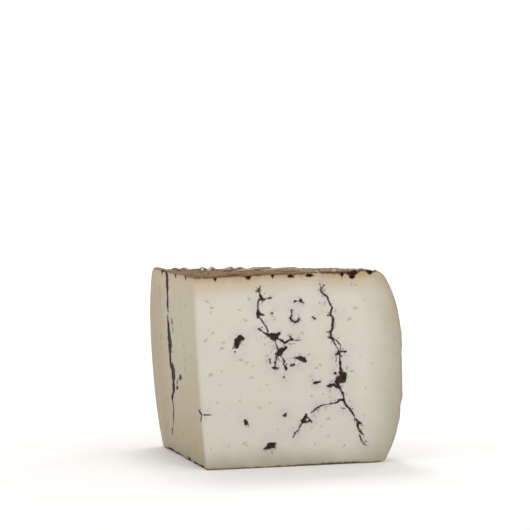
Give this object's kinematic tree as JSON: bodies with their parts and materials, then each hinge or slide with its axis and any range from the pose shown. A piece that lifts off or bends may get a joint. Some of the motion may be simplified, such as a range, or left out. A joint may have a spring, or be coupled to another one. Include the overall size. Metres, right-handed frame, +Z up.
{
  "type": "truffle pecorino quarter",
  "caption": "Quarter of a small pressed sheep's milk cheese wheel, with ridged basket-marked rind and dark truffle veins in its two cut faces.",
  "frame": {"origin": "middle of the foot of the block's box, on the surface it stands on", "axes": "+Z up, -Y out of the front cut, -X out of the side cut, and the curved rim towards +X and +Y"},
  "size_m": [0.1192, 0.1152, 0.1069],
  "materials": {
    "paste": "pale ivory cheese paste, dense, with a soft satin surface",
    "rind": "golden brown oiled rind with glossy ridges and darker grooves",
    "truffle": "brown-black truffle flakes and veins, slightly rough"
  },
  "bodies": {
    "root": {"cheese_wedge": "paste"}
  },
  "joints": []
}
